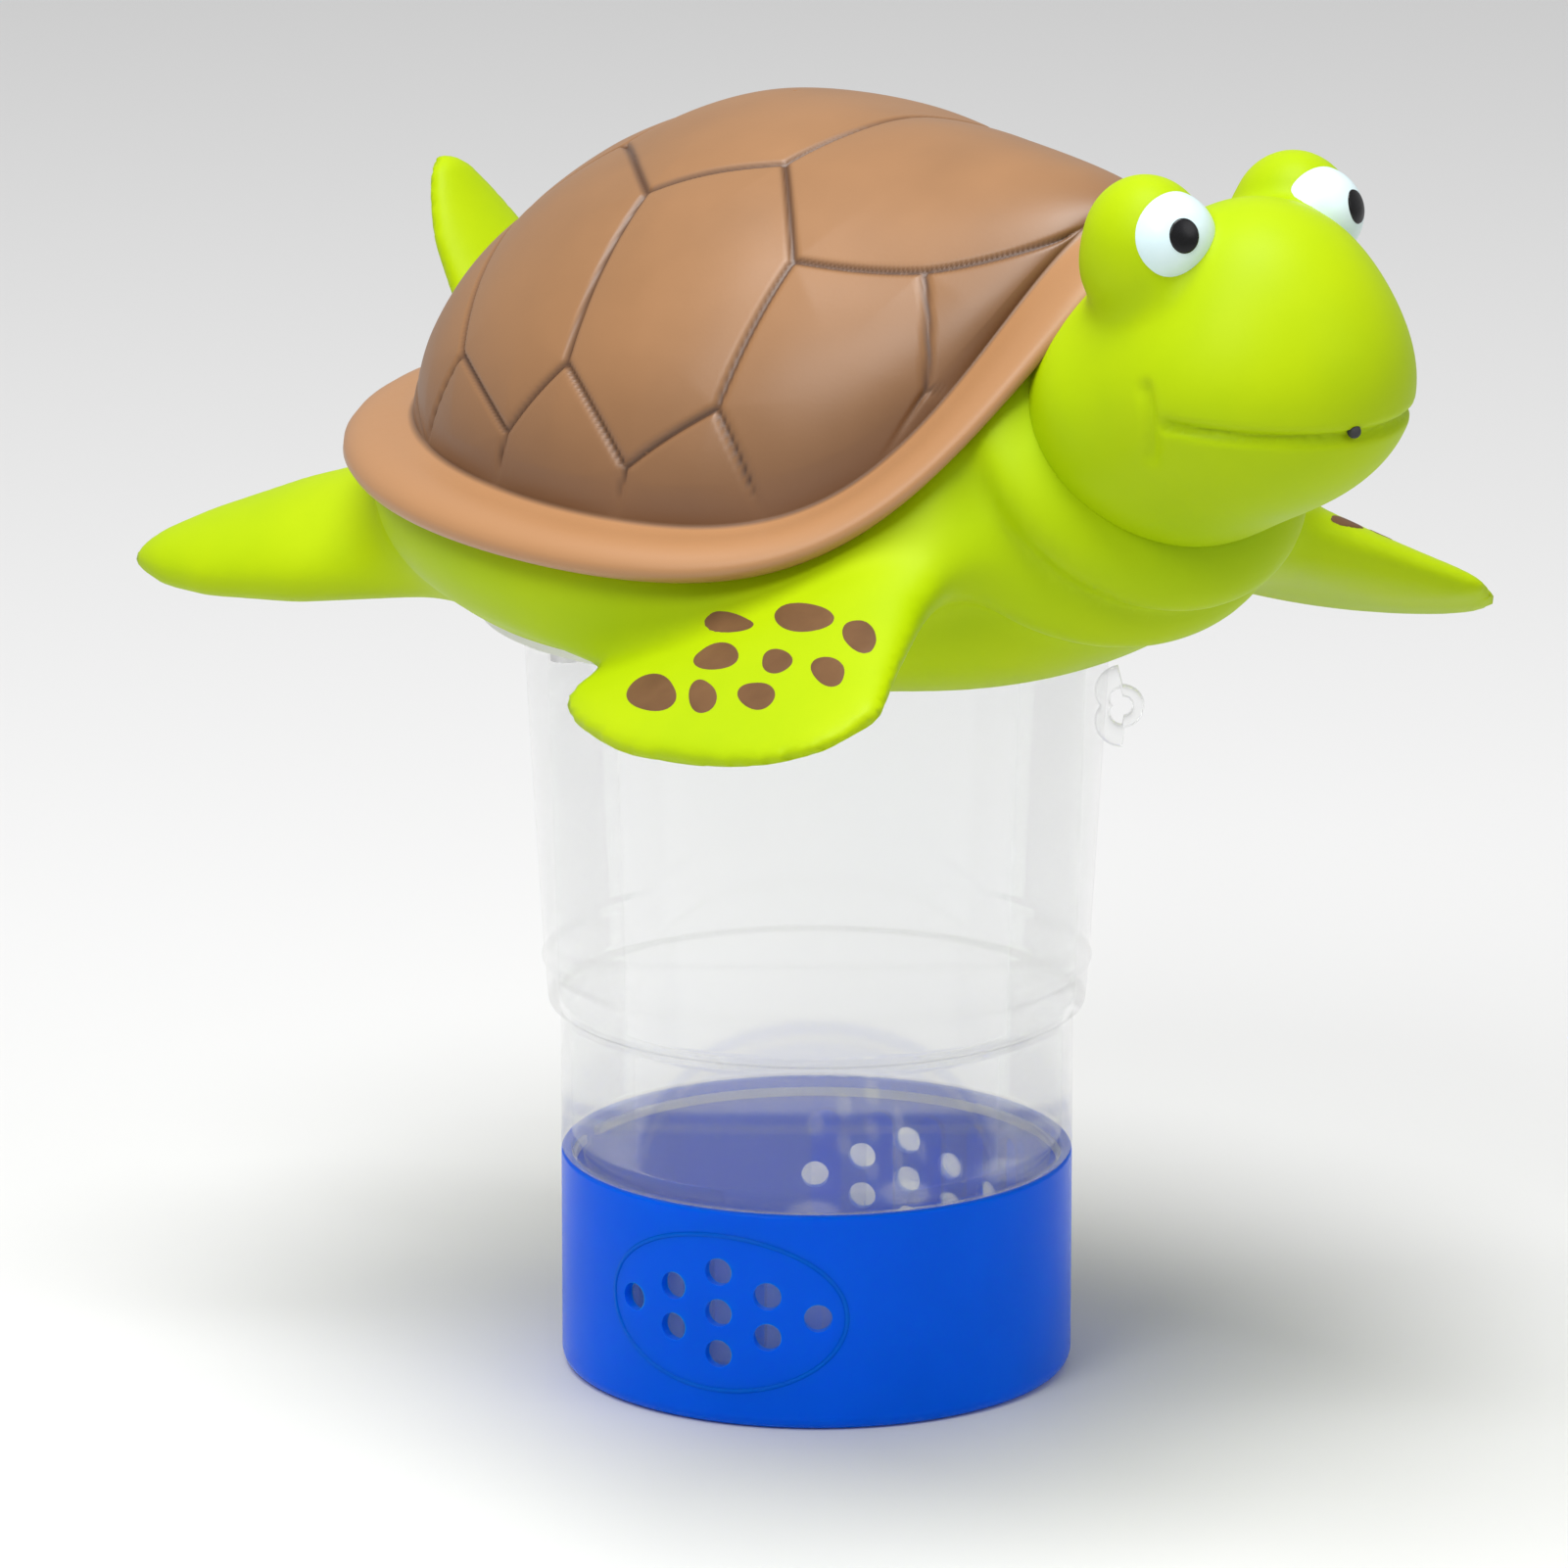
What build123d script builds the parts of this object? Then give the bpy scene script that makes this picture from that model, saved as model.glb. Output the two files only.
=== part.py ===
from build123d import *
import os
from math import cos, radians, sin

# Floating chlorine dispenser: a turtle float screwed onto a clear tablet canister
# that stands in a turning vent cup. Millimetres, Z up, origin at the centre of the
# flat base. The turtle faces -Y and its right side is -X.

# ---------------------------------------------------------------- driving dimensions
CUP_RADIUS = 50.0                 # leaves the canister's bore 91 mm wide
CUP_HEIGHT = 43.0
CUP_WALL = 2.0
CUP_FLOOR_BOTTOM = 6.2
CUP_FLOOR_TOP = 8.6
FOOT_ROUNDING = 5.0

RUNNING_GAP = 0.3                 # between the cup, the canister and the float
CANISTER_WALL = 2.0
SKIRT_RADIUS = CUP_RADIUS - CUP_WALL - RUNNING_GAP
CANISTER_FLOOR_BOTTOM = CUP_FLOOR_TOP + RUNNING_GAP
CANISTER_FLOOR_TOP = CANISTER_FLOOR_BOTTOM + 2.2
SHOULDER_HEIGHT = CUP_HEIGHT + RUNNING_GAP
STEP_HEIGHT = 72.5
STEP_OUT = 2.4
TAPER_TOP_HEIGHT = 150.0
TAPER_TOP_RADIUS = 57.0
NECK_RADIUS = 55.2
MOUTH_HEIGHT = 172.0
BEAD_LOW = 80.4
BEAD_HIGH = 83.8
BEAD_PROUD = 0.7

SLOT_WIDTH = 6.0
SLOT_BOTTOM = 14.0
SLOT_TOP = 37.0
SLOT_COUNT = 5
SLOT_PITCH_ANGLE = 13.4
SLOT_GROUP_ANGLE = 20.7           # middle of one slot group, from +X
EYELET_ANGLE = -40.0
EYELET_HEIGHT = 131.5

VENT_PANEL_ANGLE = 27.6           # middle of one hole panel, from +X
VENT_HOLE_RADIUS = 2.75
VENT_HEIGHT = 22.7
VENT_ROW_PITCH = 8.2
VENT_COLUMN_ANGLE = 11.3
VENT_COLUMNS = (1, 2, 3, 2, 1)    # holes in each column of the diamond
PANEL_HALF_ANGLE = 29.0
PANEL_HALF_HEIGHT = 15.5
PANEL_DEPTH = 0.5

FLANGE_BOTTOM = 151.8
FLANGE_RADIUS = 65.4
SKIRT_OUTER = 60.2
SKIRT_INNER = 57.6
CAP_TOP = 176.0
CAP_PLATE = 3.0
VINYL = 3.0                       # wall of the float's skin
FOAM_RADIUS = 50.0
FOAM_TOP = 212.0
SCREW_CIRCLE = 62.8
SCREW_COUNT = 6

SHELL_HALF_LENGTH = 100.0         # carapace rim, seen from above
SHELL_HALF_WIDTH = 88.0
SHELL_SIDE_HEIGHT = 177.0         # underside of the rim at the sides
SHELL_FRONT_RISE = 55.0           # how far the rim arches up over the neck
SHELL_REAR_RISE = 10.0
SHELL_WALL = 3.0
RIM_THICKNESS = 4.5
DOME_CENTRE = (12.0, 160.0)       # forward, up
DOME_HALF = (105.0, 77.0, 94.0)   # forward, sideways, up

BELLY_CENTRE = 165.0
BELLY_HALF = (86.0, 76.0, 24.0)
HEAD_CENTRE = (117.0, 218.0)      # forward, up
HEAD_HALF = (44.0, 35.0, 33.0)
NECK_CENTRE = (84.0, 202.0)
NECK_HALF = (46.0, 35.0, 33.0)
EYE_PLACE = (120.0, 19.0, 245.0)  # forward, sideways, up
EYE_RADIUS = 11.0
HOOD_PLACE = (115.0, 20.0, 243.0)
HOOD_RADIUS = 15.0
PUPIL_RADIUS = 3.2
MOUTH_PLACE = (158.6, 0, 212.0)
MOUTH_HOLE_RADIUS = 1.2


# ---------------------------------------------------------------- helpers
def at(forward, right, up):
    """A point given in the turtle's own directions."""
    return Vector(-right, -forward, up)


def ellipsoid(centre, half):
    """An ellipsoid with half sizes given forward, sideways and up."""
    ball = scale(Sphere(1), by=(half[1], half[0], half[2]))
    return ball.moved(Location(at(*centre)))


def disc(radius, low, high):
    return Pos(0, 0, low) * Cylinder(radius, high - low, align=(Align.CENTER, Align.CENTER, Align.MIN))


def ring(outer, inner, low, high):
    return disc(outer, low, high) - disc(inner, low - 1, high + 1)


def oval_column(half_length, half_width, low, high):
    """An upright column on an ellipse that is longest fore and aft."""
    outline = make_face(Ellipse(half_width, half_length).edges())
    return extrude(Pos(0, 0, low) * outline, high - low)


def revolved(points):
    """A solid of revolution about Z from a closed outline of radius and height."""
    outline = make_face(Polyline(*[(radius, 0, height) for radius, height in points], close=True))
    return revolve(outline, Axis.Z)


def facing(angle, radius, height):
    """A place on a wall with its local X pointing outward."""
    return Rot(0, 0, angle) * Pos(radius, 0, height)


def peg(radius, length):
    """A round peg along local X, centred on the origin."""
    return Rot(0, 90, 0) * Cylinder(radius, length)


# ---------------------------------------------------------------- canister
def wall_slot(angle):
    """A round-ended upright slot through the skirt wall."""
    straight = SLOT_TOP - SLOT_BOTTOM - SLOT_WIDTH
    middle = (SLOT_TOP + SLOT_BOTTOM) / 2
    body = Box(12, SLOT_WIDTH, straight)
    ends = Pos(0, 0, straight / 2) * peg(SLOT_WIDTH / 2, 12)
    ends += Pos(0, 0, -straight / 2) * peg(SLOT_WIDTH / 2, 12)
    return facing(angle, CUP_RADIUS - 3, middle) * (body + ends)


def eyelet():
    """The tether eyelet moulded on the side of the canister."""
    radius = TAPER_TOP_RADIUS - 1.4
    wedge = make_face(Polyline((0, -9), (6.5, -1), (6.5, 1), (0, 9), close=True))
    fin = extrude(Plane.XZ * Pos(0, 0, -1.8) * wedge, 3.6)
    fin += Pos(4.2, 0, 0) * Rot(90, 0, 0) * Cylinder(3.9, 3.6)
    hole = Pos(4.2, 0, 0) * Rot(90, 0, 0) * Cylinder(1.9, 8)
    return facing(EYELET_ANGLE, radius - 0.6, EYELET_HEIGHT) * (fin - hole)


def make_canister_tube():
    """The clear upper part: shoulder, step, tapering wall, bead, neck and eyelet."""
    step_radius = CUP_RADIUS + STEP_OUT
    wall = CANISTER_WALL
    tube = revolved([
        (SKIRT_RADIUS - wall, SHOULDER_HEIGHT),
        (CUP_RADIUS, SHOULDER_HEIGHT),
        (CUP_RADIUS, STEP_HEIGHT),
        (step_radius, STEP_HEIGHT + 1),
        (TAPER_TOP_RADIUS, TAPER_TOP_HEIGHT),
        (NECK_RADIUS, TAPER_TOP_HEIGHT + 1),
        (NECK_RADIUS, MOUTH_HEIGHT),
        (NECK_RADIUS - wall - 1, MOUTH_HEIGHT),
        (NECK_RADIUS - wall - 1, TAPER_TOP_HEIGHT - 4),
        (step_radius - wall, STEP_HEIGHT + 2),
        (CUP_RADIUS - wall, STEP_HEIGHT - 2),
        (CUP_RADIUS - wall, SHOULDER_HEIGHT + 4),
    ])
    bead_radius = step_radius + (TAPER_TOP_RADIUS - step_radius) * 0.12 + BEAD_PROUD
    return tube + ring(bead_radius, CUP_RADIUS + 1, BEAD_LOW, BEAD_HIGH) + eyelet()


def make_sieve_basket():
    """The slotted lower part inside the vent cup, welded under the tube."""
    basket = disc(SKIRT_RADIUS, CANISTER_FLOOR_BOTTOM, SHOULDER_HEIGHT)
    basket -= disc(SKIRT_RADIUS - CANISTER_WALL, CANISTER_FLOOR_TOP, SHOULDER_HEIGHT + 1)
    for side in (0, 180):
        for index in range(SLOT_COUNT):
            turn = (index - (SLOT_COUNT - 1) / 2) * SLOT_PITCH_ANGLE
            basket -= wall_slot(SLOT_GROUP_ANGLE + side + turn)
    for ring_radius, count in ((14, 6), (28, 12)):
        for index in range(count):
            hole = Rot(0, 0, 360 * index / count) * Pos(ring_radius, 0, 0) * disc(2.5, 5, 15)
            basket -= hole
    groove = ring(SKIRT_RADIUS + 1, SKIRT_RADIUS - 0.9, 39.0, 41.4)
    return basket - groove


# ---------------------------------------------------------------- vent cup
def vent_pattern(depth):
    """Pegs at the places of both panels' vent holes."""
    pegs = []
    for side in (0, 180):
        for column, count in enumerate(VENT_COLUMNS):
            turn = (column - (len(VENT_COLUMNS) - 1) / 2) * VENT_COLUMN_ANGLE
            for row in range(count):
                height = VENT_HEIGHT + (row - (count - 1) / 2) * VENT_ROW_PITCH
                place = facing(VENT_PANEL_ANGLE + side + turn, CUP_RADIUS - 1, height)
                pegs.append(place * peg(VENT_HOLE_RADIUS, depth))
    return pegs


def panel_recess(side):
    """The shallow oval sunk into the cup's wall round one group of holes."""
    half_width = CUP_RADIUS * sin(radians(PANEL_HALF_ANGLE))
    oval = make_face(Ellipse(half_width, PANEL_HALF_HEIGHT).edges())
    column = extrude(Plane.YZ * oval, 2 * CUP_RADIUS)
    column = Rot(0, 0, VENT_PANEL_ANGLE + side) * Pos(0, 0, VENT_HEIGHT) * column
    return column & ring(CUP_RADIUS + 1, CUP_RADIUS - PANEL_DEPTH, 2, CUP_HEIGHT)


def base_screw_places():
    return [Rot(0, 0, 120 * index) * Pos(9.0, 0, 0) for index in range(3)]


def make_vent_cup():
    outside = disc(CUP_RADIUS, 0, CUP_HEIGHT)
    outside = fillet(outside.edges().sort_by(Axis.Z)[0], FOOT_ROUNDING)
    inside = CUP_RADIUS - CUP_WALL
    cup = outside - disc(inside, CUP_FLOOR_TOP, CUP_HEIGHT + 1)
    cup -= disc(inside - 4.2, -1, CUP_FLOOR_BOTTOM)
    for place in base_screw_places():
        cup += place * disc(3.6, 1.6, CUP_FLOOR_BOTTOM)
        cup -= place * disc(1.3, 0, CUP_FLOOR_BOTTOM + 1.2)
    for side in (0, 180):
        cup -= panel_recess(side)
    for hole in vent_pattern(8):
        cup -= hole
    return cup


def make_retaining_ring():
    """The split snap ring that keeps the canister in the cup and lets it turn."""
    groove_floor = CUP_RADIUS - CUP_WALL - RUNNING_GAP - 0.9
    band = ring(CUP_RADIUS - CUP_WALL, groove_floor + 0.3, 39.4, 41.0)
    gap = Rot(0, 0, 120) * Pos(CUP_RADIUS, 0, 40) * Box(20, 6, 6)
    return band - gap


def make_ballast_ring():
    return ring(42.0, 14.5, 2.3, CUP_FLOOR_BOTTOM - 0.2)


def make_base_cover():
    cover = disc(43.6, 0, 1.5)
    cover = chamfer(cover.edges().sort_by(Axis.Z)[0], 0.4)
    cover += ring(42.8, 41.2, 1.5, 2.3)
    for place in base_screw_places():
        cover -= place * disc(1.7, -1, 3)
        cover -= place * disc(3.0, -1, 0.8)
    return cover


def make_base_screws():
    screws = []
    for place in base_screw_places():
        head = disc(2.8, 0.15, 0.8)
        shank = disc(1.3, 0.8, 6.6)
        screws.append(place * (head + shank))
    return Compound(children=screws)


# ---------------------------------------------------------------- screw cap and float
def make_screw_cap():
    cap = ring(SKIRT_OUTER, SKIRT_INNER, FLANGE_BOTTOM, CAP_TOP)
    cap += ring(FLANGE_RADIUS, SKIRT_INNER, FLANGE_BOTTOM, FLANGE_BOTTOM + 2)
    cap += disc(SKIRT_OUTER, CAP_TOP - CAP_PLATE, CAP_TOP)
    cap -= disc(4.0, CAP_TOP - CAP_PLATE - 1, CAP_TOP + 1)
    for index in range(SCREW_COUNT):
        cap -= Rot(0, 0, 60 * index) * Pos(SCREW_CIRCLE, 0, 0) * disc(1.5, 140, 158)
    return cap


def make_mouth_gasket():
    underside = CAP_TOP - CAP_PLATE
    return ring(NECK_RADIUS - 0.2, NECK_RADIUS - 4.6, MOUTH_HEIGHT + 0.1, underside - 0.1)


def make_belly_gasket():
    gasket = ring(FLANGE_RADIUS, SKIRT_OUTER, FLANGE_BOTTOM + 2, FLANGE_BOTTOM + 3)
    for index in range(SCREW_COUNT):
        gasket -= Rot(0, 0, 60 * index) * Pos(SCREW_CIRCLE, 0, 0) * disc(1.5, 140, 158)
    return gasket


def make_clamp_ring():
    low = FLANGE_BOTTOM + 3 + VINYL
    clamp = ring(68.0, SKIRT_OUTER + 0.3, low, low + 3.5)
    for index in range(SCREW_COUNT):
        clamp -= Rot(0, 0, 60 * index) * Pos(SCREW_CIRCLE, 0, 0) * disc(1.5, 140, 170)
    return clamp


def make_clamp_screws():
    screws = []
    for index in range(SCREW_COUNT):
        place = Rot(0, 0, 60 * index) * Pos(SCREW_CIRCLE, 0, 0)
        head = disc(2.6, FLANGE_BOTTOM - 1.4, FLANGE_BOTTOM)
        shank = disc(1.5, FLANGE_BOTTOM, FLANGE_BOTTOM + VINYL + 6)
        screws.append(place * (head + shank))
    return Compound(children=screws)


def make_air_plug():
    """The stopper that closes the float's filling hole in the cap."""
    return disc(4.0, CAP_TOP - CAP_PLATE, CAP_TOP) + disc(6.0, CAP_TOP, CAP_TOP + 2)


def rim_height(forward):
    """Underside of the carapace rim: level at the sides, arched over the neck."""
    if forward > 0:
        return SHELL_SIDE_HEIGHT + SHELL_FRONT_RISE * (forward / 97.0) ** 6
    return SHELL_SIDE_HEIGHT + SHELL_REAR_RISE * (forward / SHELL_HALF_LENGTH) ** 2


def above_rim(shift, lift):
    """The space above the rim's underside, moved forward by shift and up by lift."""
    stations = [-115, -75, -35, 0, 30, 50, 65, 78, 88, 96, 103]
    points = [(-s, rim_height(s + shift) + lift) for s in stations]
    curve = Spline(*points)
    far_end, near_end = points[-1], points[0]
    frame = Polyline(far_end, (far_end[0], 330), (near_end[0], 330), near_end)
    outline = make_face(curve.edges() + frame.edges())
    return extrude(Plane.YZ * outline, 120, both=True)


def dome(shrink):
    forward, sideways, up = DOME_HALF
    half = (forward - shrink, sideways - shrink, up - shrink)
    return ellipsoid((DOME_CENTRE[0], 0, DOME_CENTRE[1]), half)


def make_carapace():
    high_side = above_rim(0, 0)
    column = oval_column(SHELL_HALF_LENGTH, SHELL_HALF_WIDTH, 150, 280)
    hollow = dome(SHELL_WALL)
    shell = (dome(0) & column & high_side) - hollow
    flare = ellipsoid((DOME_CENTRE[0], 0, DOME_CENTRE[1]), (113.0, 90.0, 97.0))
    band = (flare & column & high_side) - above_rim(4.0, RIM_THICKNESS)
    return shell + (band - hollow)


def limb(root, outward, chord, stations):
    """A flipper lofted through flat ovals set square to its length.

    Each station gives the reach from the root, how far the oval is swept along the
    chord and raised off it, and its half chord and half thickness.
    """
    along = at(*outward).normalized()
    across = (at(*chord) - along * at(*chord).dot(along)).normalized()
    lift = across.cross(along)
    if lift.Z < 0:
        lift = -lift
    sections = []
    for reach, sweep, rise, half_chord, half_thick in stations:
        place = at(*root) + along * reach + across * sweep + lift * rise
        plane = Plane(origin=place, x_dir=across, z_dir=along)
        sections.append(plane * make_face(Ellipse(half_chord, half_thick).edges()))
    return loft(sections)


FRONT_STATIONS = (
    (0, 0, 0, 18, 9),
    (19, 4, 0, 22.5, 8),
    (34, 6.5, 0, 30, 6.5),
    (47, 6.5, 0, 36.5, 5.2),
    (58, 2, 0, 38, 4.2),
    (67, -3, 0, 30, 3),
    (72.5, -6, 0, 13, 1.6),
)
LEVEL_STATIONS = (
    (0, 0, 0, 22, 11.5),
    (24, 0, 0, 20.5, 10.5),
    (48, 1, 0, 17.5, 9),
    (68, 2, 0, 12, 6.5),
    (78, 3, 0, 7.5, 4.5),
    (84, 4, 0, 2.5, 1.8),
)
RAISED_STATIONS = (
    (0, 0, 0, 20, 10),
    (28, 0, -6, 20, 9.5),
    (55, 0, -12, 18, 8),
    (75, 0, -9, 15.5, 6.5),
    (90, 0, -4, 10.5, 4.5),
    (101, 0, 0, 3, 2),
)


def front_flipper(side):
    """A front flipper: side is 1 for the turtle's right and -1 for its left."""
    if side > 0:
        return limb((74, 35, 184.5), (-0.08, 0.88, -0.46), (0.99, 0.10, 0.02), FRONT_STATIONS)
    return limb((67, -32, 182), (-0.20, -0.86, -0.48), (0.97, -0.24, 0.03), FRONT_STATIONS)


def rear_right_flipper():
    return limb((-53, 28.5, 166.5), (-0.81, 0.54, -0.22), (0.58, 0.72, -0.38), LEVEL_STATIONS)


def rear_left_flipper():
    """The rear flipper that is held up behind the carapace."""
    return limb((-60, -42, 166), (-0.86, 0.18, 0.48), (0.2, 0.98, 0), RAISED_STATIONS)


def trunk(shrink):
    """The float's trunk: a shallow belly below and the carapace's inside above."""
    belly_half = [size - shrink for size in BELLY_HALF]
    belly = ellipsoid((0, 0, BELLY_CENTRE), belly_half)
    column = oval_column(SHELL_HALF_LENGTH - 8 - shrink, SHELL_HALF_WIDTH - 8 - shrink, BELLY_CENTRE, 280)
    back = dome(SHELL_WALL + 0.3 + shrink) & column
    return belly + back


def ball(place, radius):
    return Pos(*at(*place)) * Sphere(radius)


def mirrored(place):
    return [(place[0], side * place[1], place[2]) for side in (1, -1)]


def eye_direction(side):
    """Which way an eye looks: ahead, a little outward and up."""
    return at(0.80, side * 0.36, 0.22).normalized()


def make_turtle_body(carapace):
    body = trunk(0)
    body += ellipsoid((NECK_CENTRE[0], 0, NECK_CENTRE[1]), NECK_HALF)
    body += ellipsoid((HEAD_CENTRE[0], 0, HEAD_CENTRE[1]), HEAD_HALF)
    for place in mirrored(HOOD_PLACE):
        body += ball(place, HOOD_RADIUS)
    for flipper in (front_flipper(1), front_flipper(-1), rear_right_flipper(), rear_left_flipper()):
        body += flipper
    pad = disc(71, FLANGE_BOTTOM - 4, FLANGE_BOTTOM + 3 + VINYL)
    inside = trunk(VINYL) - pad
    for centre, half in ((NECK_CENTRE, NECK_HALF), (HEAD_CENTRE, HEAD_HALF)):
        inside += ellipsoid((centre[0], 0, centre[1]), [size - VINYL for size in half])
    body -= inside
    body -= disc(SKIRT_OUTER + 0.05, 120, CAP_TOP + 3)
    body -= disc(FLANGE_RADIUS + 0.3, 120, FLANGE_BOTTOM + 3)
    for index in range(SCREW_COUNT):
        body -= Rot(0, 0, 60 * index) * Pos(SCREW_CIRCLE, 0, 0) * disc(1.5, 140, 170)
    for place in mirrored(EYE_PLACE):
        body -= ball(place, EYE_RADIUS)
    body -= mouth_peg(MOUTH_HOLE_RADIUS, 12)
    return body - carapace


def mouth_peg(radius, length):
    return Pos(*at(*MOUTH_PLACE)) * Rot(90, 0, 0) * Cylinder(radius, length)


def make_foam_core():
    """The closed-cell block glued on the cap, so a torn skin can't sink the float."""
    block = disc(FOAM_RADIUS, CAP_TOP + 2.2, FOAM_TOP)
    return fillet(block.edges().sort_by(Axis.Z)[-1], 6)


def make_pupil(side):
    centre = at(EYE_PLACE[0], side * EYE_PLACE[1], EYE_PLACE[2])
    look = eye_direction(side)
    middle = centre + look * EYE_RADIUS
    core = Plane(origin=middle, z_dir=look) * Cylinder(PUPIL_RADIUS, 4)
    return (Pos(*centre) * Sphere(EYE_RADIUS + 0.4) - Pos(*centre) * Sphere(EYE_RADIUS)) & core


# ---------------------------------------------------------------- all nodes
def make_nodes():
    carapace = make_carapace()
    nodes = {
        "canister_tube": make_canister_tube(),
        "sieve_basket": make_sieve_basket(),
        "vent_cup": make_vent_cup(),
        "cup_retaining_ring": make_retaining_ring(),
        "ballast_ring": make_ballast_ring(),
        "base_cover": make_base_cover(),
        "base_screws": make_base_screws(),
        "screw_cap": make_screw_cap(),
        "mouth_gasket": make_mouth_gasket(),
        "belly_gasket": make_belly_gasket(),
        "clamp_ring": make_clamp_ring(),
        "clamp_screws": make_clamp_screws(),
        "air_plug": make_air_plug(),
        "turtle_body": make_turtle_body(carapace),
        "carapace": carapace,
        "foam_core": make_foam_core(),
        "mouth_plug": mouth_peg(MOUTH_HOLE_RADIUS, VINYL),
    }
    for name, side in (("right", 1), ("left", -1)):
        nodes["eye_" + name] = ball(mirrored(EYE_PLACE)[0 if side == 1 else 1], EYE_RADIUS)
        nodes["pupil_" + name] = make_pupil(side)
    return nodes


os.makedirs("parts", exist_ok=True)
for node_name, shape in make_nodes().items():
    export_step(shape, "parts/" + node_name + ".step")
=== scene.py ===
from math import asin, cos, pi, radians, sin

import bmesh
import bpy
import numpy as np
from mathutils import Euler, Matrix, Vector


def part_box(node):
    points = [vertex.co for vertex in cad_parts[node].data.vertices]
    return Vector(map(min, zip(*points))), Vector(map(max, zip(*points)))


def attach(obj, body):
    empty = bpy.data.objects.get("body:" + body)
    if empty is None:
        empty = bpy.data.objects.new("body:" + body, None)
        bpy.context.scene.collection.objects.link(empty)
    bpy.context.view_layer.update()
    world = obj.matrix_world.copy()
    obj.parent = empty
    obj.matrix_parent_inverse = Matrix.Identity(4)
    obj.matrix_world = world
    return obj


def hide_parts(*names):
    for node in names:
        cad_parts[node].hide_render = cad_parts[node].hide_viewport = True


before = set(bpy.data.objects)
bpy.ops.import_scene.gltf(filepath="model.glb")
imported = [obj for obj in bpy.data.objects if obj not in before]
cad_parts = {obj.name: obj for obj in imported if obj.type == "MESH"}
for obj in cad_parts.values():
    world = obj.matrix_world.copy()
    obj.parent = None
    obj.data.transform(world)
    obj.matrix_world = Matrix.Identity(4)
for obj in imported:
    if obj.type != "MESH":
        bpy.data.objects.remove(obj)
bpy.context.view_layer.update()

# The turtle is shaped in its own directions and in millimetres: forward, right, up.
# Forward is -Y and right is -X in the frame, which is in metres.
MM = 0.001
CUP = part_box("vent_cup")
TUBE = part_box("canister_tube")
CUP_RADIUS = CUP[1][0] / MM
CUP_HEIGHT = CUP[1][2] / MM
TUBE_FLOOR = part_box("sieve_basket")[0][2] / MM
MOUTH_HEIGHT = TUBE[1][2] / MM
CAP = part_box("screw_cap")
CAP_RADIUS = 60.2
CAP_TOP = CAP[1][2] / MM


# ------------------------------------------------------------------ mesh helpers
def to_frame(points):
    """Turtle directions in millimetres to the frame in metres."""
    points = np.asarray(points, float)
    return np.stack([-points[..., 1], -points[..., 0], points[..., 2]], -1) * MM


def add_mesh(name, points, faces, material, body, replaces=()):
    mesh = bpy.data.meshes.new(name)
    mesh.from_pydata([tuple(p) for p in points], [], [tuple(int(i) for i in f) for f in faces])
    mesh.update()
    mesh.shade_smooth()
    mesh.materials.append(material)
    obj = bpy.data.objects.new(name, mesh)
    bpy.context.scene.collection.objects.link(obj)
    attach(obj, body)
    if replaces:
        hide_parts(*replaces)
    return obj


def crease_by_angle(obj, angle):
    """Keeps edges sharper than angle crisp and the rest smooth."""
    mesh = bmesh.new()
    mesh.from_mesh(obj.data)
    mesh.normal_update()
    for edge in mesh.edges:
        edge.smooth = len(edge.link_faces) == 2 and edge.calc_face_angle(pi) < radians(angle)
    mesh.to_mesh(obj.data)
    mesh.free()


# ------------------------------------------------------------------ implicit modelling
def oval(p, centre, half, pitch=0.0):
    """About the distance to an ellipsoid, pitched nose-up by some degrees."""
    q = p - np.asarray(centre, float)
    if pitch:
        c, s = cos(radians(pitch)), sin(radians(pitch))
        q = np.stack([q[:, 0] * c + q[:, 2] * s, q[:, 1], q[:, 2] * c - q[:, 0] * s], -1)
    half = np.asarray(half, float)
    near = np.sqrt(((q / half) ** 2).sum(1)) + 1e-9
    slope = np.sqrt(((q / half ** 2) ** 2).sum(1)) + 1e-9
    return near * (near - 1) / slope


def join(a, b, soft):
    """Union of two fields, melted together over soft millimetres."""
    overlap = np.clip(soft - np.abs(a - b), 0, None) / soft
    return np.minimum(a, b) - overlap ** 2 * soft / 4


def cut(a, b, soft):
    """Field a without field b, with a rounded edge."""
    return -join(-a, b, soft)


def eased(places, values):
    """A smooth curve through stations, as a function."""
    fine = np.linspace(places[0], places[-1], 241)
    table = np.interp(fine, places, values)
    kernel = np.hanning(25)
    padded = np.concatenate([
        2 * table[0] - table[24:0:-1], table, 2 * table[-1] - table[-2:-26:-1]])
    smooth = np.convolve(padded, kernel / kernel.sum(), "same")[24:-24]
    return lambda x: np.interp(x, fine, smooth)


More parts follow.
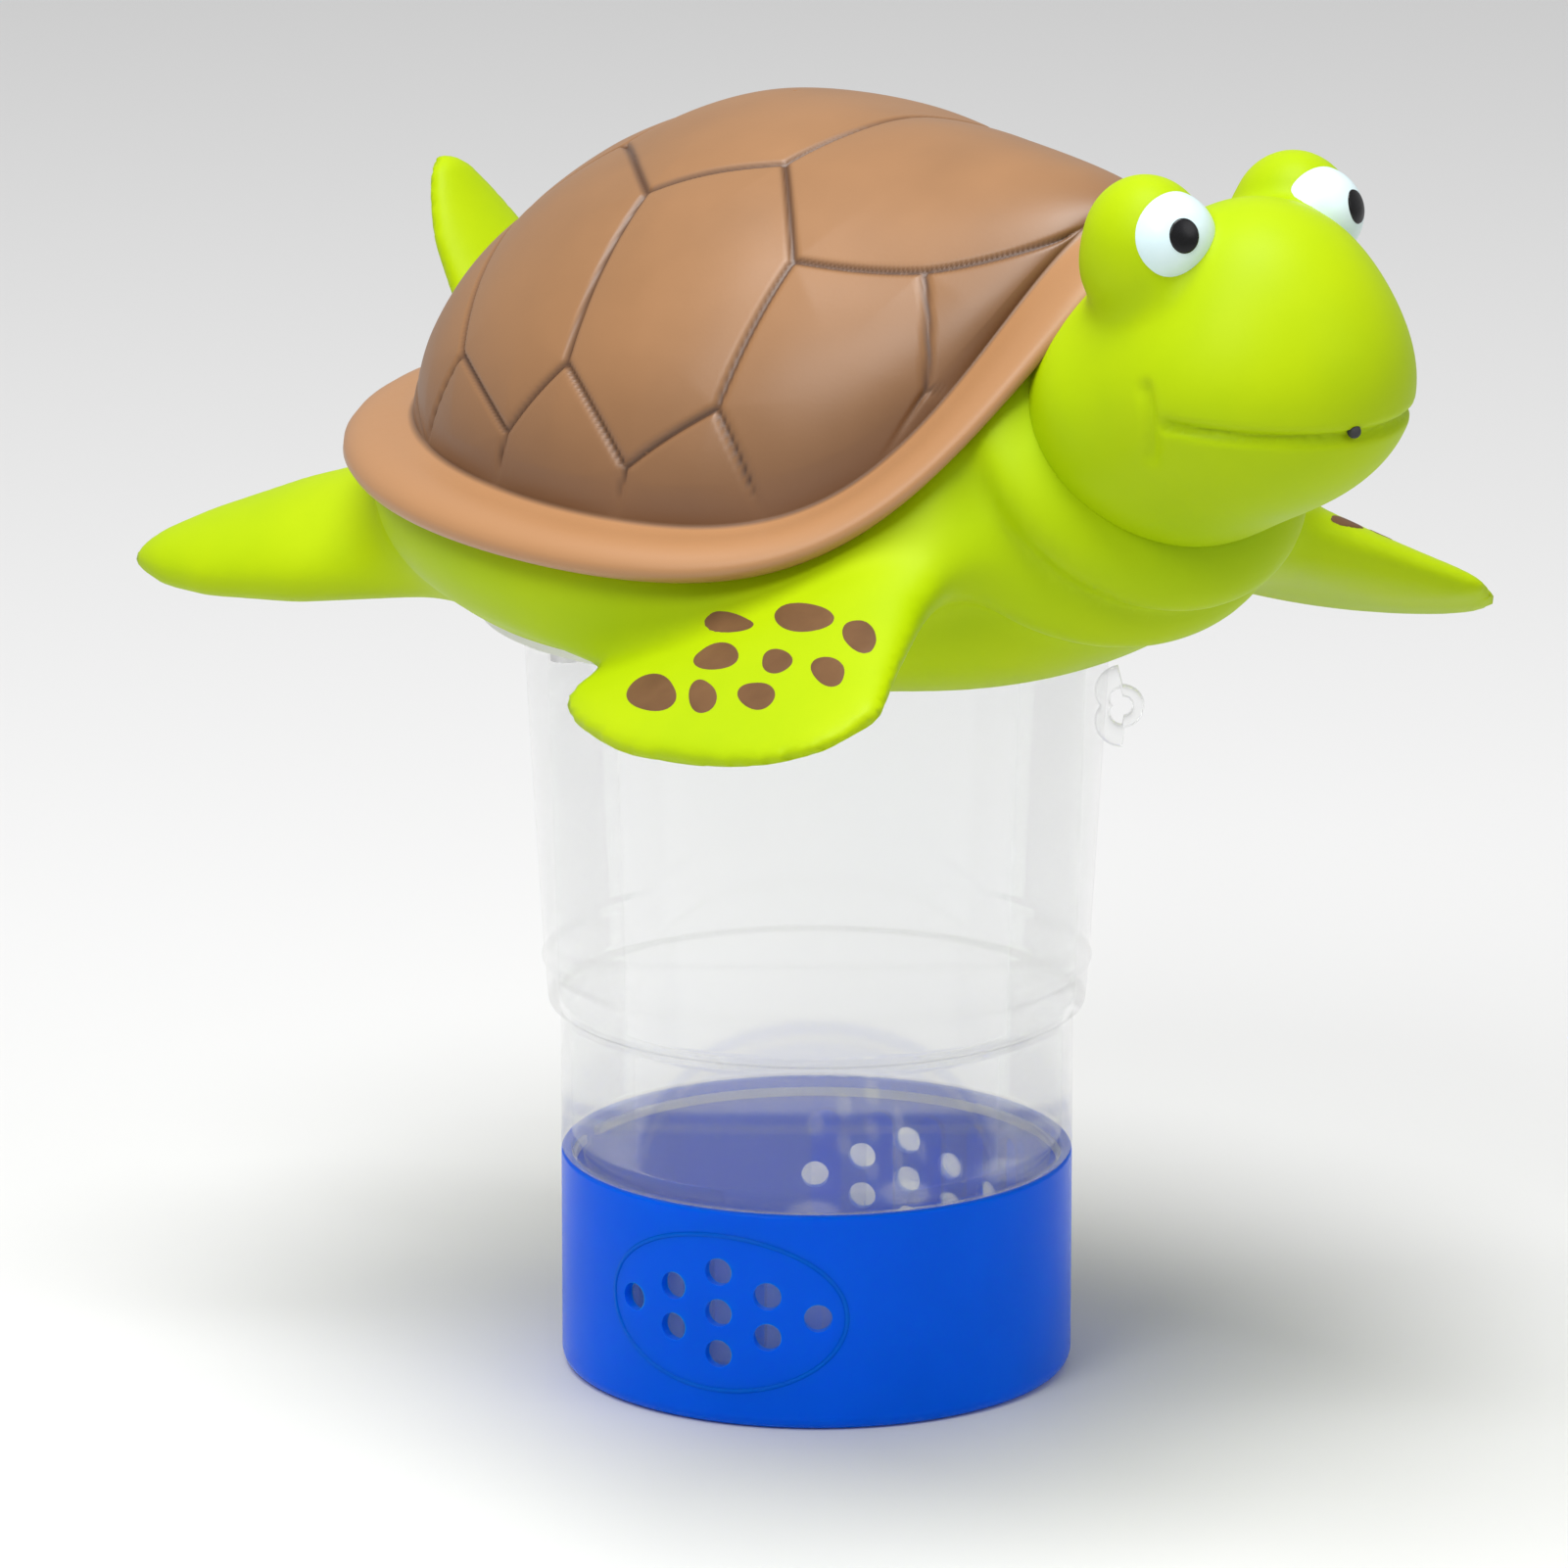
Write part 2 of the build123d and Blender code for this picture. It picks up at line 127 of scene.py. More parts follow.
def surface_net(field, low, high, step):
    """A quad mesh of the field's zero surface inside a box."""
    axes = [np.arange(a, b + step, step) for a, b in zip(low, high)]
    shape = [len(axis) for axis in axes]
    grid = np.stack(np.meshgrid(*axes, indexing="ij"), -1).reshape(-1, 3)
    value = field(grid).reshape(shape)
    inside = value < 0
    cells = tuple(n - 1 for n in shape)
    total = np.zeros(cells + (3,))
    count = np.zeros(cells)
    for axis in range(3):
        others = [a for a in range(3) if a != axis]
        first = [slice(None)] * 3
        second = [slice(None)] * 3
        first[axis] = slice(0, -1)
        second[axis] = slice(1, None)
        a, b = value[tuple(first)], value[tuple(second)]
        crossing = (a < 0) != (b < 0)
        along = np.where(crossing, a / np.where(crossing, a - b, 1), 0)
        for i in (0, 1):
            for j in (0, 1):
                part = [slice(None)] * 3
                part[others[0]] = slice(i, shape[others[0]] - 1 + i)
                part[others[1]] = slice(j, shape[others[1]] - 1 + j)
                hit = crossing[tuple(part)]
                count += hit
                total[..., axis] += np.where(hit, along[tuple(part)], 0)
                total[..., others[0]] += hit * i
                total[..., others[1]] += hit * j
    used = count > 0
    number = np.full(cells, -1)
    number[used] = np.arange(used.sum())
    corner = np.stack(np.nonzero(used), -1)
    points = (corner + total[used] / count[used][:, None]) * step + np.asarray(low, float)
    faces = []
    for axis in range(3):
        b_axis, c_axis = (axis + 1) % 3, (axis + 2) % 3
        first = [slice(1, -1)] * 3
        second = [slice(1, -1)] * 3
        first[axis] = slice(0, -1)
        second[axis] = slice(1, None)
        a, b = inside[tuple(first)], inside[tuple(second)]
        for flip, crossing in ((False, a & ~b), (True, ~a & b)):
            index = np.stack(np.nonzero(crossing), -1)
            index[:, b_axis] += 1
            index[:, c_axis] += 1
            ring = []
            for back_b, back_c in ((1, 1), (0, 1), (0, 0), (1, 0)):
                cell = index.copy()
                cell[:, b_axis] -= back_b
                cell[:, c_axis] -= back_c
                ring.append(number[cell[:, 0], cell[:, 1], cell[:, 2]])
            quad = np.stack(ring, -1)
            faces.append(quad[:, ::-1] if flip else quad)
    return points, np.concatenate(faces)


def gradient(field, points, reach=0.25):
    out = np.empty_like(points)
    for axis in range(3):
        shift = np.zeros(3)
        shift[axis] = reach
        out[:, axis] = (field(points + shift) - field(points - shift)) / (2 * reach)
    return out


def settle(field, points, rounds=3, offset=0.0):
    """Moves points onto the surface that lies offset outside the field's zero."""
    for _ in range(rounds):
        slope = gradient(field, points)
        size = np.clip((slope ** 2).sum(1, keepdims=True), 0.05, None)
        move = (field(points) - offset)[:, None] * slope / size
        points = points - np.clip(move, -2, 2)
    return points


def relax(field, points, faces, rounds=4):
    """Evens out the quads and keeps them on the surface."""
    edges = np.concatenate([faces[:, [0, 1]], faces[:, [1, 2]], faces[:, [2, 3]], faces[:, [3, 0]]])
    for _ in range(rounds):
        total = np.zeros_like(points)
        count = np.zeros(len(points))
        for a, b in ((0, 1), (1, 0)):
            np.add.at(total, edges[:, a], points[edges[:, b]])
            np.add.at(count, edges[:, a], 1)
        average = total / np.maximum(count, 1)[:, None]
        points = settle(field, points + 0.6 * (average - points), 1)
    return settle(field, points, 2)


def implicit_piece(name, field, low, high, step, material, body, replaces=()):
    points, faces = surface_net(field, low, high, step)
    points = relax(field, settle(field, points), faces)
    return add_mesh(name, to_frame(points), faces, material, body, replaces)


# ------------------------------------------------------------------ materials
def new_material(name, colour, roughness, **sockets):
    material = bpy.data.materials.new(name)
    material.use_nodes = True
    shader = material.node_tree.nodes["Principled BSDF"]
    shader.inputs["Base Color"].default_value = (*colour, 1)
    shader.inputs["Roughness"].default_value = roughness
    for socket, value in sockets.items():
        shader.inputs[socket.replace("_", " ")].default_value = value
    return material


def add_node(material, kind, **settings):
    node = material.node_tree.nodes.new(kind)
    for key, value in settings.items():
        if hasattr(node, key):
            setattr(node, key, value)
        else:
            node.inputs[key.replace("_", " ")].default_value = value
    return node


def wire(material, source, target):
    material.node_tree.links.new(source, target)


def object_noise(material, scale, detail=4.0, roughness=0.55):
    place = add_node(material, "ShaderNodeTexCoord")
    noise = add_node(material, "ShaderNodeTexNoise", Scale=scale, Detail=detail, Roughness=roughness)
    wire(material, place.outputs["Object"], noise.inputs["Vector"])
    return noise.outputs["Fac"]


def ramp(material, source, stops):
    node = add_node(material, "ShaderNodeValToRGB")
    elements = node.color_ramp.elements
    while len(elements) < len(stops):
        elements.new(0.5)
    for element, (place, colour) in zip(elements, stops):
        element.position = place
        element.color = (*colour, 1)
    wire(material, source, node.inputs["Fac"])
    return node.outputs["Color"]


def spread(material, source, low, high):
    node = add_node(material, "ShaderNodeMapRange")
    node.inputs["To Min"].default_value = low
    node.inputs["To Max"].default_value = high
    wire(material, source, node.inputs["Value"])
    return node.outputs["Result"]


def finish_surface(material, stops, noise_scale, roughness, bump_scale, bump_height):
    """Gives a moulded surface its drifting colour, uneven gloss and fine grain."""
    shader = material.node_tree.nodes["Principled BSDF"]
    drift = object_noise(material, noise_scale)
    wire(material, ramp(material, drift, stops), shader.inputs["Base Color"])
    gloss = object_noise(material, noise_scale * 4, 6.0)
    wire(material, spread(material, gloss, *roughness), shader.inputs["Roughness"])
    grain = object_noise(material, bump_scale, 3.0)
    bump = add_node(material, "ShaderNodeBump", Strength=0.35, Distance=bump_height)
    wire(material, grain, bump.inputs["Height"])
    wire(material, bump.outputs["Normal"], shader.inputs["Normal"])
    return material


def green_vinyl():
    material = new_material(
        "green_vinyl", (0.40, 0.56, 0.0), 0.5, Specular_IOR_Level=0.12, Subsurface_Weight=0.12,
        Subsurface_Scale=0.003)
    material.node_tree.nodes["Principled BSDF"].inputs["Subsurface Radius"].default_value = (1.0, 0.9, 0.2)
    stops = ((0.3, (0.34, 0.5, 0.0)), (0.5, (0.385, 0.535, 0.0)), (0.7, (0.43, 0.57, 0.0)))
    return finish_surface(material, stops, 14.0, (0.42, 0.56), 900.0, 0.00006)


def brown_vinyl(name="brown_vinyl"):
    base = (0.30, 0.148, 0.06)
    material = new_material(name, base, 0.4, Specular_IOR_Level=0.42, Coat_Weight=0.2, Coat_Roughness=0.4)
    dark, light = [c * 0.86 for c in base], [c * 1.12 for c in base]
    stops = ((0.3, dark), (0.5, base), (0.7, light))
    return finish_surface(material, stops, 16.0, (0.36, 0.5), 1100.0, 0.00005)


def eye_white():
    material = new_material("eye_white", (0.66, 0.8, 0.82), 0.3, Specular_IOR_Level=0.3)
    stops = ((0.3, (0.6, 0.76, 0.79)), (0.7, (0.7, 0.82, 0.84)))
    return finish_surface(material, stops, 60.0, (0.24, 0.34), 900.0, 0.00003)


def pupil_black():
    material = new_material("pupil_black", (0.004, 0.004, 0.005), 0.25, Specular_IOR_Level=0.3)
    stops = ((0.3, (0.003, 0.003, 0.003)), (0.7, (0.008, 0.008, 0.01)))
    return finish_surface(material, stops, 200.0, (0.2, 0.32), 1500.0, 0.00002)


def spot_brown():
    material = new_material("spot_brown", (0.15, 0.075, 0.032), 0.5, Specular_IOR_Level=0.15)
    stops = ((0.3, (0.125, 0.062, 0.028)), (0.7, (0.17, 0.087, 0.038)))
    return finish_surface(material, stops, 90.0, (0.42, 0.56), 1300.0, 0.00003)


def blue_plastic():
    """Blue plastic; its slight emission stands in for light scattered within the wall."""
    material = new_material(
        "blue_plastic", (0.0, 0.085, 0.7), 0.22, Specular_IOR_Level=0.06, Subsurface_Weight=0.8,
        Subsurface_Scale=0.005, Emission_Color=(0.0, 0.16, 0.8, 1.0), Emission_Strength=0.09)
    material.node_tree.nodes["Principled BSDF"].inputs["Subsurface Radius"].default_value = (0.2, 0.5, 1.0)
    stops = ((0.3, (0.0, 0.078, 0.64)), (0.7, (0.0, 0.095, 0.76)))
    return finish_surface(material, stops, 20.0, (0.18, 0.3), 500.0, 0.00004)


def clear_plastic():
    """Slightly cloudy clear plastic: part straight see-through, part refracting."""
    material = new_material(
        "clear_plastic", (0.97, 0.98, 0.985), 0.12, Transmission_Weight=0.82, IOR=1.3,
        Specular_IOR_Level=0.4, Alpha=0.3)
    stops = ((0.3, (0.95, 0.97, 0.98)), (0.7, (0.99, 0.99, 0.99)))
    return finish_surface(material, stops, 12.0, (0.08, 0.2), 60.0, 0.00012)


def white_plastic():
    material = new_material("white_plastic", (0.8, 0.8, 0.79), 0.45)
    stops = ((0.3, (0.76, 0.76, 0.75)), (0.7, (0.83, 0.83, 0.82)))
    return finish_surface(material, stops, 30.0, (0.38, 0.52), 700.0, 0.00005)


def seal_rubber():
    material = new_material("seal_rubber", (0.03, 0.03, 0.032), 0.7)
    stops = ((0.3, (0.022, 0.022, 0.024)), (0.7, (0.042, 0.042, 0.045)))
    return finish_surface(material, stops, 120.0, (0.6, 0.85), 1800.0, 0.00008)


def steel():
    material = new_material("steel", (0.6, 0.6, 0.6), 0.3, Metallic=1.0)
    stops = ((0.3, (0.5, 0.5, 0.5)), (0.7, (0.68, 0.68, 0.68)))
    return finish_surface(material, stops, 200.0, (0.22, 0.42), 2500.0, 0.00003)


def foam():
    material = new_material("foam", (0.85, 0.85, 0.83), 0.9)
    stops = ((0.3, (0.78, 0.78, 0.76)), (0.7, (0.88, 0.88, 0.86)))
    return finish_surface(material, stops, 300.0, (0.8, 0.95), 600.0, 0.0004)


# ------------------------------------------------------------------ carapace
APEX = (-7.0, 251.6)              # forward, up
DOME_HALF = (85.6, 76.5)          # its foot seen from above
DOME_SHIFT = 2.8
FRONT_FULLNESS = 0.89
REAR_FULLNESS = 1.25
RIM_DROP = 5.0


def rim_height(angle):
    """Height of the rim's lower edge round the carapace; it arches over the neck."""
    c = np.cos(angle)
    return 178 + 60 * ((1 + c) / 2) ** 13.4 + 8 * ((1 - c) / 2) ** 2


def dome_point(angle, reach):
    """A point on the dome: angle round it from the front, reach 0 at the top and 1 at the foot."""
    c = np.cos(angle)
    power = FRONT_FULLNESS + (REAR_FULLNESS - FRONT_FULLNESS) * (1 - c) / 2
    out = np.sin(reach * pi / 2) ** power
    rise = np.clip(np.cos(reach * pi / 2), 0, 1) ** power
    foot = rim_height(angle) + RIM_DROP
    forward = APEX[0] * (1 - out) + DOME_SHIFT * out + DOME_HALF[0] * c * out
    right = DOME_HALF[1] * np.sin(angle) * out
    return np.stack([forward, right, foot + (APEX[1] - foot) * rise], -1)


# Corners of the horny plates, for one side: places on a flat chart of the dome whose
# middle is the top, with forward first and 1 at the foot.
PLATES = {
    "a": (-0.44, 0.34), "b": (-0.24, 0.24), "c": (0.01, 0.39), "d": (0.18, 0.22),
    "e": (0.35, 0.39), "f": (0.58, 0.31), "g": (0.81, 0.47), "h": (1.00, 0.12),
    "j": (0.06, 0.73), "k": (0.28, 0.86), "l": (-0.06, 0.88), "m": (-0.29, 0.72),
    "n": (-0.45, 0.90), "o": (-0.09, 1.00), "p": (0.29, 0.96), "q": (0.41, 0.68),
    "r": (0.62, 0.79), "s": (0.81, 0.60), "t": (0.89, 0.46), "u": (-0.62, 0.21),
    "v": (-0.80, 0.36), "w": (-0.68, 0.60), "x": (-0.80, 0.12), "y": (-0.92, 0.40),
    "z": (-0.74, 0.68),
}
SEAMS = "ab bc cd de ef fh fg gt gs eq qk qr kp kj jc jl lo lm ma mn au ux uw wn wv vy wz".split()
CROSS_SEAMS = "bdux"              # corners joined straight across the back


def seam_lines():
    """Every seam as a run of points on the dome."""
    pairs = []
    for side in (1, -1):
        for first, last in SEAMS:
            start, end = PLATES[first], PLATES[last]
            pairs.append(((start[0], side * start[1]), (end[0], side * end[1])))
    for corner in CROSS_SEAMS:
        place = PLATES[corner]
        pairs.append((place, (place[0], -place[1])))
    lines = []
    for start, end in pairs:
        part = np.linspace(0, 1, 25)[:, None]
        chart = np.asarray(start) * (1 - part) + np.asarray(end) * part
        reach = np.clip(np.hypot(chart[:, 0], chart[:, 1]), 0, 1)
        lines.append(dome_point(np.arctan2(chart[:, 1], chart[:, 0]), reach))
    return lines


def distance_to_lines(points, lines):
    starts = np.concatenate([line[:-1] for line in lines])
    ends = np.concatenate([line[1:] for line in lines])
    along = ends - starts
    length = (along ** 2).sum(1)
    best = np.full(len(points), 1e9)
    for block in range(0, len(points), 4000):
        p = points[block:block + 4000]
        gap = p[:, None, :] - starts[None]
        share = np.clip((gap * along[None]).sum(2) / length[None], 0, 1)
        off = gap - share[..., None] * along[None]
        best[block:block + 4000] = np.sqrt((off ** 2).sum(2)).min(1)
    return best


SEAM_DEPTH = 1.0
SEAM_WIDTH = 0.62
PLATE_CROWN = 0.7
PLATE_EASE = 7.0


def carapace():
    turns = 560
    rings = 210
    angle = np.linspace(0, 2 * pi, turns, endpoint=False)
    reach = np.linspace(0.004, 1, rings)
    around, outward = np.meshgrid(angle, reach, indexing="ij")
    points = dome_point(around.ravel(), outward.ravel())
    ahead = dome_point(around.ravel() + 1e-3, outward.ravel())
    further = dome_point(around.ravel(), outward.ravel() - 1e-3)
    normal = np.cross(ahead - points, further - points)
    normal /= np.linalg.norm(normal, axis=1, keepdims=True)
    normal *= np.sign((normal * (points - np.array([0, 0, 150]))).sum(1, keepdims=True))
    gap = distance_to_lines(points, seam_lines())
    lift = PLATE_CROWN * (1 - np.exp(-(gap / PLATE_EASE) ** 1.5))
    lift -= SEAM_DEPTH * np.exp(-(gap / SEAM_WIDTH) ** 2)
    fade = np.clip((1 - outward.ravel()) * 14, 0, 1)
    points = points + normal * (lift * fade - PLATE_CROWN)[:, None]
    # Painted shade: the seams are darkened along their grooves.
    painted_shade = np.exp(-(gap / (SEAM_WIDTH * 1.3)) ** 2) * fade
    dome = points.reshape(turns, rings, 3)
    rim = rim_rings(angle)
    sheet = np.concatenate([dome, rim], axis=1)
    count = sheet.shape[1]
    faces = []
    for i in range(turns):
        j = (i + 1) % turns
        for k in range(count - 1):
            faces.append((i * count + k, j * count + k, j * count + k + 1, i * count + k + 1))
    points = list(sheet.reshape(-1, 3))
    top = len(points)
    points.append(dome_point(0.0, 0.0) - np.array([0, 0, PLATE_CROWN * 0.2]))
    for i in range(turns):
        faces.append((((i + 1) % turns) * count, i * count, top))
    obj = add_mesh(
        "carapace_shell", to_frame(points), faces, brown_shell, "float", ["carapace"])
    # Painted shade: the dome's colour darkens toward its foot.
    foot_shade = 0.6 * np.clip((outward.ravel() - 0.5) / 0.48, 0, 1) ** 1.6
    shade = np.zeros((turns, count))
    shade[:, :rings] = np.maximum(painted_shade, foot_shade).reshape(turns, rings)
    paint_value(obj, "painted_shade", np.append(shade.ravel(), 0))
    tone = np.zeros((turns, count))
    tone[:, rings:] = 1
    paint_value(obj, "rim", np.append(tone.ravel(), 0))
    return obj


def rim_rings(angle):
    """The flared lip round the foot of the dome, as rings from the crease to the inside."""
    profile = [
        (0.6, -0.5), (1.8, -0.9), (4.0, -1.1), (7.0, -1.5), (9.5, -2.2), (11.5, -3.4),
        (12.8, -5.0), (13.0, -6.6), (12.2, -7.8), (10.5, -8.4), (7.0, -8.0), (2.0, -7.6), (-3.0, -7.5),
    ]
    foot = dome_point(angle, np.ones_like(angle))
    outward = np.stack([
        np.cos(angle) / DOME_HALF[0], np.sin(angle) / DOME_HALF[1], np.zeros_like(angle)], -1)
    outward /= np.linalg.norm(outward, axis=1, keepdims=True)
    rings = []
    for out, up in profile:
        ring = foot + outward * out
        ring[:, 2] += up
        rings.append(ring)
    return np.stack(rings, axis=1)


def paint_value(obj, name, values):
    layer = obj.data.attributes.new(name, "FLOAT", "POINT")
    layer.data.foreach_set("value", np.asarray(values, np.float32))


def shell_material():
    """Brown vinyl with painted shade, darker in the seams and toward the dome's foot, and a paler rim."""
    material = brown_vinyl("brown_shell")
    nodes = material.node_tree.nodes
    shader = nodes["Principled BSDF"]
    base = shader.inputs["Base Color"].links[0].from_socket
    rim = add_node(material, "ShaderNodeAttribute", attribute_name="rim")
    pale = add_node(material, "ShaderNodeMix", data_type="RGBA")
    wire(material, rim.outputs["Fac"], pale.inputs[0])
    wire(material, base, pale.inputs[6])
    pale.inputs[7].default_value = (0.4, 0.2, 0.085, 1)
    painted_shade = add_node(material, "ShaderNodeAttribute", attribute_name="painted_shade")
    dark = add_node(material, "ShaderNodeMix", data_type="RGBA")
    wire(material, painted_shade.outputs["Fac"], dark.inputs[0])
    wire(material, pale.outputs[2], dark.inputs[6])
    # The dark brown of the painted shade in the seams and toward the foot.
    dark.inputs[7].default_value = (0.085, 0.038, 0.018, 1)
    wire(material, dark.outputs[2], shader.inputs["Base Color"])
    return material


# ------------------------------------------------------------------ turtle body fields
def flipper(p, root, outward, chord, stations):
    """A flat, round-edged paddle. Stations: reach, chord centre, droop, half chord, half thickness."""
    outward = np.asarray(outward, float) / np.linalg.norm(outward)
    chord = np.asarray(chord, float) - outward * np.dot(chord, outward)
    chord /= np.linalg.norm(chord)
    normal = np.cross(chord, outward)
    q = p - np.asarray(root, float)
    reach, across, above = q @ outward, q @ chord, q @ normal
    columns = list(zip(*stations))
    centre, droop, half, thick = [eased(columns[0], column) for column in columns[1:]]
    half = np.clip(half(reach), 0.4, None)
    thick = np.clip(thick(reach), 0.4, None)
    across = (across - centre(reach)) / half
    above = (above - droop(reach)) / thick
    body = (np.sqrt(across ** 2 + above ** 2 + 1e-9) - 1) * np.minimum(half, thick)
    beyond = np.maximum(reach - columns[0][-1], columns[0][0] - reach)
    return np.maximum(body, beyond)


FRONT_STATIONS = [
    (0, 0, 0, 14, 9), (19, 2.5, 0, 19, 8), (34, 5, 0, 27.5, 6.5), (47, 6.5, 0, 36.5, 5.2),
    (58, 2, 0, 38, 4.2), (65, -2, 0, 34, 3.4), (69.5, -4.5, 0, 25, 2.7), (72.5, -6.5, 0, 12, 1.8),
    (73.5, -6.5, 0, 0.5, 0.5),
]
LEVEL_STATIONS = [
    (0, 0, 0, 22, 11.5), (24, 0, 0, 20.5, 10.5), (48, 1, 0, 17.5, 9), (68, 2, 0, 12, 6.5),
    (78, 3, 0, 7.5, 4.5), (83, 4, 0, 3.5, 2.4), (85, 4, 0, 0.5, 0.5),
]
RAISED_STATIONS = [
    (0, 0, 0, 20, 10), (28, 0, -8, 20, 9.5), (55, 0, -16, 18, 8), (75, 0, -13, 15.5, 6.5),
    (88, 0, -7, 12, 5), (95, 0, -3, 8, 3.8), (100, 0, 0, 4.5, 2.5), (102, 0, 0, 0.5, 0.5),
]


def front_flipper(p, side):
    root, outward, chord = FRONT_LIMBS[side]
    return flipper(p, root, outward, chord, FRONT_STATIONS)


def rear_flippers(p):
    level = flipper(p, (-53, 28.5, 166.5), (-0.81, 0.54, -0.22), (-0.58, -0.72, 0.38), LEVEL_STATIONS)
    raised = flipper(p, (-60, -42, 166), (-0.86, 0.18, 0.48), (0.2, 0.98, 0), RAISED_STATIONS)
    return np.minimum(level, raised)


def body_lip(p):
    """The green bead that carries the carapace's rim."""
    q = np.stack([(p[:, 0] - DOME_SHIFT) / 86.0, p[:, 1] / 77.0], -1)
    round_angle = np.arctan2(q[:, 1], q[:, 0])
    off = (np.hypot(q[:, 0], q[:, 1]) - 1) * 81
    up = p[:, 2] - (rim_height(round_angle) - 8)
    return np.sqrt(off ** 2 + (up / 1.25) ** 2) - 6.5


def under_shell(p):
    """Everything above the carapace's foot and within it, where the body may not be."""
    q = np.stack([(p[:, 0] - DOME_SHIFT) / (DOME_HALF[0] + 6), p[:, 1] / (DOME_HALF[1] + 6)], -1)
    round_angle = np.arctan2(q[:, 1], q[:, 0])
    inside = (np.hypot(q[:, 0], q[:, 1]) - 1) * 80
    return np.maximum(inside, rim_height(round_angle) - 1 - p[:, 2])


def neck_rolls(p):
    """Three soft folds that narrow from the chest to the head."""
    rolls = oval(p, (58, 0, 184), (36, 54, 32), 25)
    rolls = join(rolls, oval(p, (80, 0, 192), (17, 44, 36), 38), 3)
    return join(rolls, oval(p, (93, 0, 199), (13, 37, 34), 38), 3)


def trunk_field(p):
    body = oval(p, (0, 0, 166), (86, 76, 25))
    body = join(body, body_lip(p), 10)
    body = join(body, neck_rolls(p), 8)
    for side in (1, -1):
        body = join(body, front_flipper(p, side), 9)
    body = join(body, rear_flippers(p), 9)
    body = cut(body, under_shell(p), 1.5)
    hollow = np.maximum(np.hypot(p[:, 0], p[:, 1]) - (CAP_RADIUS + 0.4), p[:, 2] - (CAP_TOP + 2))
    return cut(body, hollow, 2.0)


MOUTH_CENTRE = (118.0, 0.0, 212.0)
MOUTH_TURN = 67.0                 # the mouth's corners, in degrees from straight ahead


def mouth_line():
    """The parting of the lips, nearly level and lifting a little at its corners."""
    turn = np.radians(np.linspace(-MOUTH_TURN, MOUTH_TURN, 90))
    rise = 1.2 * (turn / radians(MOUTH_TURN)) ** 2
    return np.asarray(MOUTH_CENTRE) + np.stack([33 * np.cos(turn), 30 * np.sin(turn), rise], -1)


def mouth_corner(side):
    """The crease of the cheek that crosses the end of the mouth."""
    part = np.linspace(-1, 1, 20)
    return np.stack([128 - 1.5 * part ** 2, side * (29 - part ** 2), 212.5 + 6.5 * part], -1)


EYE = (120.4, 18.3, 244.6)
EYE_RADIUS = 8.9
LID_REACH = 5.4                   # how far the eyelid comes forward over the eyeball


def gaze(side):
    turn, lift = radians(21), radians(14.5)
    return np.array([cos(turn) * cos(lift), side * sin(turn) * cos(lift), sin(lift)])


def hood(p, side):
    """The eyelid: a bump over the eyeball, cut off where the eye looks out."""
    bump = join(
        oval(p, (114.5, side * 18.3, 242.5), (12.5, 11, 13)),
        oval(p, (113, side * 16.5, 237), (13, 11, 10)), 4)
    centre = np.array([EYE[0], side * EYE[1], EYE[2]])
    ahead = (p - centre) @ (gaze(side) - np.array([0, 0, 0.1]))
    return cut(bump, LID_REACH - ahead, 1.6)


def head_shape(p):
    head = oval(p, (106.5, 0, 209.5), (28, 32, 27))
    head = join(head, oval(p, (125, 0, 223.5), (26, 24.4, 27)), 12)
    return join(head, oval(p, (125.5, 0, 216), (28.3, 28.3, 22.6)), 8)


def head_field(p):
    head = head_shape(p)
    for side in (1, -1):
        head = join(head, hood(p, side), 4)
    return head


def sculpt(points, field, lines, depth, width):
    """Presses a soft line into a surface along its normals."""
    gap = distance_to_lines(points, lines)
    slope = gradient(field, points)
    slope /= np.linalg.norm(slope, axis=1, keepdims=True)
    return points - slope * (depth * np.exp(-(gap / width) ** 2))[:, None]


def head():
    points, faces = surface_net(head_field, (66, -48, 178), (172, 48, 266), 1.0)
    points = relax(head_field, settle(head_field, points), faces)
    lips = settle(head_shape, mouth_line())
    corners = [settle(head_shape, mouth_corner(side)) for side in (1, -1)]
    points = sculpt(points, head_shape, [lips], 1.8, 1.1)
    points = sculpt(points, head_shape, corners, 1.1, 1.4)
    return add_mesh("turtle_head", to_frame(points), faces, green, "float", ["turtle_body"])


def trunk():
    return implicit_piece(
        "turtle_trunk", trunk_field, (-165, -122, 130), (130, 122, 238), 1.8, green, "float",
        ["turtle_body"])


FRONT_LIMBS = {
    1: ((74, 35, 184.5), (-0.08, 0.88, -0.46), (0.99, 0.10, 0.02)),
    -1: ((67, -32, 182), (-0.20, -0.86, -0.48), (0.97, -0.24, 0.03)),
}
# Where each spot lies out along the flipper and back across it, and its half
# length and half breadth along the two directions the spots are stretched in.
SPOTS = {
    1: [
        (41, -9.5, 6.0, 2.9), (35, 7.5, 6.8, 4.9), (34, 23.5, 3.4, 5.0), (49, -3.5, 5.5, 4.7),
        (46, 12.5, 3.8, 3.7), (44, 26, 4.0, 4.2), (61, -10, 6.3, 6.2), (58.5, 3.7, 3.3, 5.5),
        (54.5, 16.3, 4.2, 4.4),
    ],
    -1: [
        (26, 18, 3.8, 2.8), (36, 19, 3.6, 2.4), (45.5, 18, 3.2, 2.4), (31, 8, 3.8, 3.2),
        (41, 6, 3.6, 3.4), (51, 7, 3.4, 3.2), (40, -7, 3.8, 3.4), (51, -6, 3.6, 3.4), (60, -11, 3.8, 3.6),
    ],
}
SPOT_LEAN = {1: 0.0, -1: 1.3}      # the left flipper's spots wrap its leading edge
SPOT_AXES = {                     # the two directions a spot is stretched in, as out and across
    1: ((-0.28, 0.96), (0.64, 0.77)),
    -1: ((1.0, -0.1), (0.0, 1.0)),
}
SPOT_RAISE = 0.12
SPOT_SWELL = 1.08


